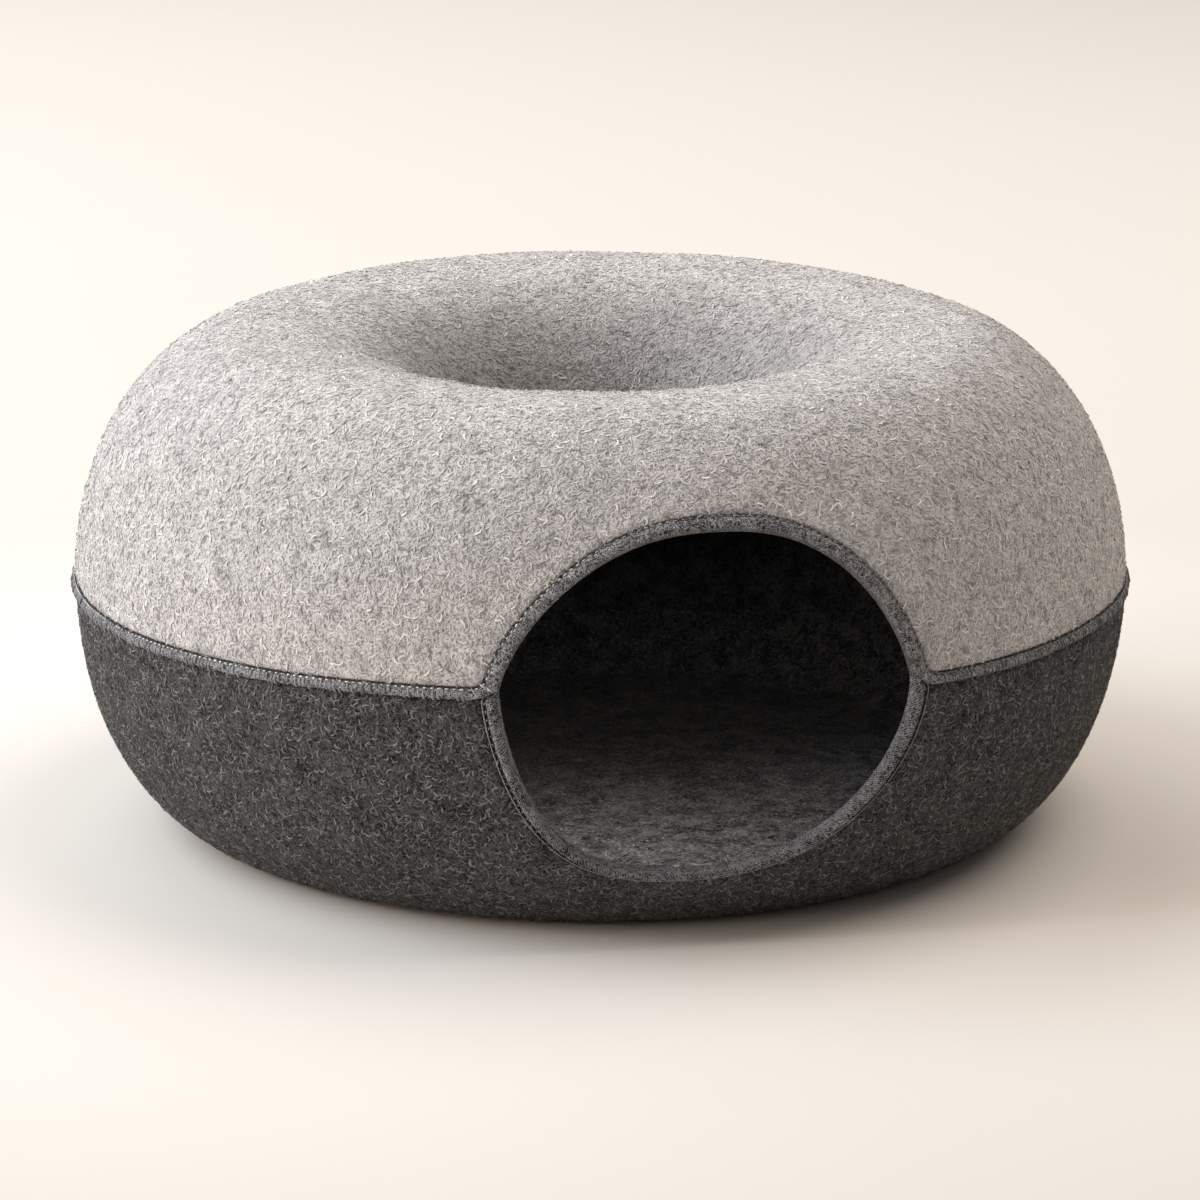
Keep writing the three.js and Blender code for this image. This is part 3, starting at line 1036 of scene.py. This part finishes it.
def tape_host(name, felt_side, lip, side, distance, out, closed):
    """A line of edges along a tape, whose points know which way is out of the wall."""
    at = across_tape(felt_side, lip, (side, distance, out))
    surface, above = (place_on_tape(at, np.full(len(at), out + rise)) for rise in (0, 1))
    count = len(at)
    edges = [(i, (i + 1) % count) for i in range(count if closed else count - 1)]
    line = new_piece(name, surface, [], edges=edges)
    facing = line.data.attributes.new("out", "FLOAT_VECTOR", "POINT")
    facing.data.foreach_set("vector", ((above - surface) / MM).ravel())
    return line


def remove(*objects):
    for thing in objects:
        bpy.data.objects.remove(thing)


TUBE_SIDES = 6


def tube(path, radii, flat=1.0):
    """Points and faces of a closed tube along a path, for small threads; flat lowers it."""
    run = np.gradient(path, axis=0)
    run /= np.linalg.norm(run, axis=1, keepdims=True)
    up = np.array([0, 0, 1.0])
    points, faces = [], []
    for p, d, radius in zip(path, run, radii):
        side = np.cross(up, d)
        side /= np.linalg.norm(side)
        rise = np.cross(d, side)
        for k in range(TUBE_SIDES):
            turn = math.tau * k / TUBE_SIDES
            points.append(p + radius * (math.cos(turn) * side + math.sin(turn) * rise * flat))
    last = (len(path) - 1) * TUBE_SIDES
    for first in range(0, last, TUBE_SIDES):
        for k in range(TUBE_SIDES):
            n = (k + 1) % TUBE_SIDES
            faces.append([first + k, first + n, first + TUBE_SIDES + n, first + TUBE_SIDES + k])
    points += [path[0], path[-1]]
    for k in range(TUBE_SIDES):
        n = (k + 1) % TUBE_SIDES
        faces.append([len(points) - 2, k, n][::-1])
        faces.append([len(points) - 1, last + k, last + n])
    return np.array(points), faces


def stitch_shape(name, length, width):
    """One stitch: a short thread that comes up, lies on the tape and goes down again."""
    reach = np.linspace(-1, 1, 6)
    path = np.stack([reach * length / 2, reach * 0, 0.35 * width * (1 - reach**4)], axis=1) * MM
    radii = width / 2 * np.array([0.35, 0.9, 1, 1, 0.9, 0.35]) * MM
    return new_piece(name, *tube(path, radii))


stitch_row = stitch_row_tree()
strip_stitch = stitch_shape("strip_stitch_shape", 2.0, 0.85)
binding_stitch = stitch_shape("binding_stitch_shape", 1.5, 0.6)

stitch_line = tape_host("stitch_line", strip_upper, strip_lower, FELT_SIDE, 1.0, 0.85, True)
strip_stitches = grown("strip_stitches", stitch_line, stitch_row, {
    "Pitch": 4.1 * MM, "Shape": strip_stitch, "Material": bright_thread, "Uneven": 0.22, "Seed": 3,
})
channel_line = tape_host("channel_line", sill_outer, sill_inner, FELT_SIDE, 1.7, 0.0, False)
binding_stitches = grown("binding_stitches", channel_line, stitch_row, {
    "Pitch": 4.6 * MM, "Shape": binding_stitch, "Material": channel_thread, "Uneven": 0.35,
    "Seed": 4,
})


RIB_START, RIB_END = 6, 15  # the rows of the strip's section that a rib follows
RIB_SLANT = 0.7
RIB_RADIUS = 0.66
RIB_SINK = 0.1  # how far its middle lies below the strip's face
RIB_FLAT = 0.7


def rib_shape(name):
    """One turn of the whip stitch, laid over the strip from its groove to its lip."""
    lip = np.array([[SECTION_WIDTH, 0.0]])
    marks = STRIP_SECTION[RIB_START:RIB_END]
    section = np.array([(across_tape(0 * lip, lip, mark)[0, 0], mark[-1]) for mark in marks])
    share = np.linspace(0, 1, 7)
    across, out = along(section, share).T
    slant = RIB_SLANT * (share - 0.5)
    across = across * STRIP_HEIGHT / SECTION_WIDTH
    path = np.stack([slant, -across, out - RIB_SINK], axis=1) * MM
    radii = RIB_RADIUS * np.array([0.4, 0.8, 1, 1, 1, 0.95, 0.6]) * MM
    return new_piece(name, *tube(path, radii, flat=RIB_FLAT))


RIBS_START = 0.004  # radians from the doorway's corner

rib = rib_shape("rib_shape")
strip_angle = np.abs(strip_upper[:, 0] / ANGLE_UNIT)
seam_only = strip_angle > strip_angle[0] + RIBS_START
rib_line = tape_host(
    "rib_line", strip_upper[seam_only], strip_lower[seam_only], FELT_SIDE, 0.0, 0.0, False,
)
strip_ribs = grown("strip_ribs", rib_line, stitch_row, {
    "Pitch": 2.7 * MM, "Shape": rib, "Material": rib_thread, "Uneven": 0.2, "Seed": 6,
})


# Threads that fasten the strip's corners: each from one place to another, across and up from the
# corner's tip, and its width
LEFT_TACKS = (
    (-8.4, 3.3, -5.4, 1.5, 0.75), (-4.9, 1.4, -2.3, -0.1, 0.75), (-12.6, 1.2, -9.6, -3.4, 0.45),
)
RIGHT_TACKS = (
    (2.1, -1.1, 5.6, -0.3, 0.7), (3.4, 0.7, 6.3, 5.1, 0.6), (6.5, -1.4, 9.0, -1.0, 0.5),
)
TACK_OUT = 2.5  # how far out of the wall a thread's middle stands
TACK_DIP = 0.9  # and how much less its ends do


def corner_tacks(name, tip, tacks):
    """A few threads laid over the strip at one of its corners."""
    points, faces = [], []
    for start_x, start_z, end_x, end_z, width in tacks:
        share = np.linspace(0, 1, 6)
        x = tip + start_x + (end_x - start_x) * share
        z = STRIP_FOOT + TIP_RISE + start_z + (end_z - start_z) * share
        out = TACK_OUT - TACK_DIP * np.abs(2 * share - 1) ** 3
        path = place_on_tape(to_place(np.stack([x, z], axis=1)), out)
        radii = width / 2 * np.array([0.4, 0.9, 1, 1, 0.9, 0.4]) * MM
        more_points, more_faces = tube(path, radii)
        faces += [[i + len(points) for i in face] for face in more_faces]
        points += list(more_points)
    return new_piece(name, points, faces, bright_thread)


left_tacks = corner_tacks("left_corner_tacks", -DOOR_HALF_WIDTH, LEFT_TACKS)
right_tacks = corner_tacks("right_corner_tacks", DOOR_HALF_WIDTH, RIGHT_TACKS)


FIBRE_KINDS = 12
FIBRE_CURL = 2.2  # radians over its whole length, times a share that differs
FIBRE_TIP, FIBRE_SWELL = 0.03, 0.055  # half its width at its ends, and what its middle has more
FIBRE_RISE, FIBRE_SINK = 0.11, 0.015


def fibre_shapes(name, spans):
    """Curled ribbons a unit long, their ends in the felt, in a collection of their own."""
    group = bpy.data.collections.new(name)
    bpy.context.scene.collection.children.link(group)
    for n in range(FIBRE_KINDS):
        heading = rng.uniform(-0.5, 0.5)
        curl = rng.choice([-1, 1]) * rng.uniform(0.3, 1.5, spans) * FIBRE_CURL / spans
        if n % 3 == 0:
            curl[spans // 2 :] *= -1  # an S rather than a hook
        steps = [np.zeros(2)]
        for bend in curl:
            heading += bend
            steps.append(steps[-1] + np.array([math.cos(heading), math.sin(heading)]) / spans)
        path = np.array(steps) - np.mean(steps, axis=0)
        run = np.gradient(path, axis=0)
        side = np.stack([-run[:, 1], run[:, 0]], axis=1)
        side /= np.linalg.norm(side, axis=1, keepdims=True)
        share = np.linspace(0, 1, spans + 1)
        half = (FIBRE_TIP + FIBRE_SWELL * np.sin(math.pi * share))[:, None]
        rise = FIBRE_RISE * np.sin(math.pi * share) ** 0.7 - FIBRE_SINK
        left = np.column_stack([path + side * half, rise])
        right = np.column_stack([path - side * half, rise])
        faces = [[k + spans + 1, k + spans + 2, k + 1, k] for k in range(spans)]
        piece = new_piece(f"{name}_{n}", np.concatenate([left, right]), faces)
        bpy.context.scene.collection.objects.unlink(piece)
        group.objects.link(piece)
    return group


def part_of(host, keep):
    """Keeps only the faces of a host whose middle passes a test."""
    mesh = host.data
    co = np.array([v.co for v in mesh.vertices])
    faces = [list(p.vertices) for p in mesh.polygons if keep(co[list(p.vertices)].mean(axis=0))]
    kept = new_piece(host.name + "_part", co, faces)
    remove(host)
    return kept


short_fibres = fibre_shapes("short_fibres", 2)
long_fibres = fibre_shapes("long_fibres", 3)
nap = nap_tree()
BASE_CLEAR = 3 * MM  # no fibres below this, where the base lies on the floor
CAVE_FLOOR_TOP = 40 * MM
lower_skin = part_of(lower_skin, lambda p: p[2] > BASE_CLEAR)
cave_floor = part_of(lower_lining, lambda p: p[2] < CAVE_FLOOR_TOP)
PER_SQUARE_METRE = 1e4  # in a number per square centimetre


def felt_nap(name, host, fibres, per_square_cm, smallest, largest, material, seed):
    return grown(name, host, nap, {
        "Fibres": fibres, "Density": per_square_cm * PER_SQUARE_METRE, "Smallest": smallest * MM,
        "Largest": largest * MM, "Material": material, "Seed": seed,
    })


upper_nap = felt_nap("upper_nap", upper_skin, long_fibres, 6.2, 3.5, 7.0, light_fibre, 11)
upper_nap_fine = felt_nap(
    "upper_nap_fine", upper_skin, short_fibres, 9.5, 2.0, 4.2, light_fibre, 12,
)
lower_nap = felt_nap("lower_nap", lower_skin, long_fibres, 9.2, 3.4, 6.4, charcoal_fibre, 13)
lower_nap_fine = felt_nap(
    "lower_nap_fine", lower_skin, short_fibres, 12.0, 1.9, 4.0, charcoal_fibre, 15,
)
floor_nap = felt_nap("floor_nap", cave_floor, short_fibres, 11.5, 2.5, 5.0, inner_fibre, 14)
strip_fuzz = felt_nap("strip_fuzz", strip_skin, short_fibres, 26.0, 2.0, 4.0, tape_fibre, 21)
binding_fuzz = felt_nap("binding_fuzz", binding_skin, short_fibres, 26.0, 2.0, 3.6, tape_fibre, 22)

remove(
    upper_skin, upper_lining, lower_skin, cave_floor, strip_skin, binding_skin, stitch_line,
    channel_line, rib_line, strip_stitch, binding_stitch, rib,
    *short_fibres.objects, *long_fibres.objects,
)
for fibres in (short_fibres, long_fibres):
    bpy.data.collections.remove(fibres)

# --- Pieces on their body ---

PARTS = (
    ("upper_shell", "light_felt", upper_felt, upper_nap, upper_nap_fine),
    ("lower_shell", "charcoal_felt", lower_felt, lower_nap, lower_nap_fine, floor_nap),
    ("seam_strip", "edge_strip", edge_strip, strip_stitches, strip_ribs, strip_fuzz, left_tacks,
     right_tacks),
    ("door_binding", "sill_binding", sill_binding, binding_stitches, binding_fuzz),
)
for cad_node, slot_name, *pieces in PARTS:
    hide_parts(cad_node)
    for piece in pieces:
        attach(piece, "root")

# --- Floor, light and camera ---


def floor_material():
    """A pale, warm, matt painted floor, with painted shade that makes it darker farther from the
    body.
    """
    material, tree, place = new_material("painted_floor_warm_white")
    broad = add(tree, "ShaderNodeTexNoise", {"Vector": place, "Scale": 1.3, "Detail": 2.0})
    # painted shade: darker from 0.3 m to 0.75 m away from the body's middle
    outer = ramp(tree, from_origin(tree, place), 0.3, 0.75)
    share = math_node(tree, "MULTIPLY_ADD", broad, 0.1, outer)
    colour = mixed(tree, ramp(tree, share, 0.0, 1.1), "e7e0d8", "d1cbc4")
    finish(tree, colour, 0.9, 0.1)
    return material


FLOOR_HALF = 14.0
FLOOR_BELOW = -0.0003
corners = [(-1, -1), (1, -1), (1, 1), (-1, 1)]
floor = new_piece(
    "floor", [(x * FLOOR_HALF, y * FLOOR_HALF, FLOOR_BELOW) for x, y in corners], [[0, 1, 2, 3]],
    floor_material(), smooth=False,
)


def softbox(name, position, target, size, watts, colour):
    """A round lamp, out of the camera's sight, that points at its target."""
    lamp = bpy.data.lights.new(name, "AREA")
    lamp.shape = "DISK"
    lamp.size = size
    lamp.energy = watts
    lamp.color = colour
    thing = in_scene(bpy.data.objects.new(name, lamp))
    thing.visible_camera = False
    thing.location = position
    thing.rotation_mode = "QUATERNION"
    thing.rotation_quaternion = (Vector(target) - Vector(position)).to_track_quat("-Z", "Y")
    return thing


def round_the_body(azimuth, elevation, away):
    """A place round the body's middle, at an angle from the doorway's side towards +X."""
    turn, up = math.radians(azimuth), math.radians(elevation)
    flat = away * math.cos(up)
    return (math.sin(turn) * flat, -math.cos(turn) * flat, MIDDLE[2] + away * math.sin(up))


MIDDLE = (0.0, 0.0, 0.14)
AWAY = 4.4
LAMP_WATTS = 167  # of each lamp, before its colour, whose numbers also hold its strength
for name, azimuth, elevation, size, colour in (
    ("left_back", -105, 38, 4.0, (1.026, 1.13, 1.239)),
    ("left_front", -75, 20, 2.8, (0.515, 0.453, 0.408)),
    ("right_high", 105, 58, 4.0, (0.78, 0.715, 0.662)),
    ("back", -165, 38, 4.0, (0.521, 0.526, 0.516)),
):
    softbox(name, round_the_body(azimuth, elevation, AWAY), MIDDLE, size, LAMP_WATTS, colour)
# A small lamp out of sight behind the arch, for the light that comes in at the doorway
fill = softbox(
    "doorway_fill", (-0.05, -0.215, 0.226), (0.0, -0.17, 0.0), 0.1, 1.05, (1.0, 0.96, 0.92),
)
cave = bpy.data.collections.new("lit_by_doorway_fill")
for piece in (lower_felt, floor_nap):
    cave.objects.link(piece)
fill.light_linking.receiver_collection = cave

world = bpy.data.worlds.new("studio")
world.use_nodes = True
world.node_tree.nodes.clear()
sky = add(world.node_tree, "ShaderNodeBackground", {
    "Color": (1.0, 0.95, 0.9, 1), "Strength": 0.19,
})
add(world.node_tree, "ShaderNodeOutputWorld", {"Surface": sky})
bpy.context.scene.world = world
bpy.context.scene.view_settings.view_transform = "Standard"

CAMERA_AZIMUTH = math.radians(-11.85)
CAMERA_AWAY = 3.1116
CAMERA_HEIGHT = 0.9573
CAMERA_PITCH = math.radians(15.09)
lens = bpy.data.cameras.new("camera")
lens.lens = 168.0
lens.sensor_width = 36.0
lens.clip_end = 60.0
camera = in_scene(bpy.data.objects.new("camera", lens))
camera.location = (
    math.sin(CAMERA_AZIMUTH) * CAMERA_AWAY,
    -math.cos(CAMERA_AZIMUTH) * CAMERA_AWAY,
    CAMERA_HEIGHT,
)
camera.rotation_euler = (math.pi / 2 - CAMERA_PITCH, 0.0, CAMERA_AZIMUTH)
bpy.context.scene.camera = camera

bpy.context.view_layer.update()
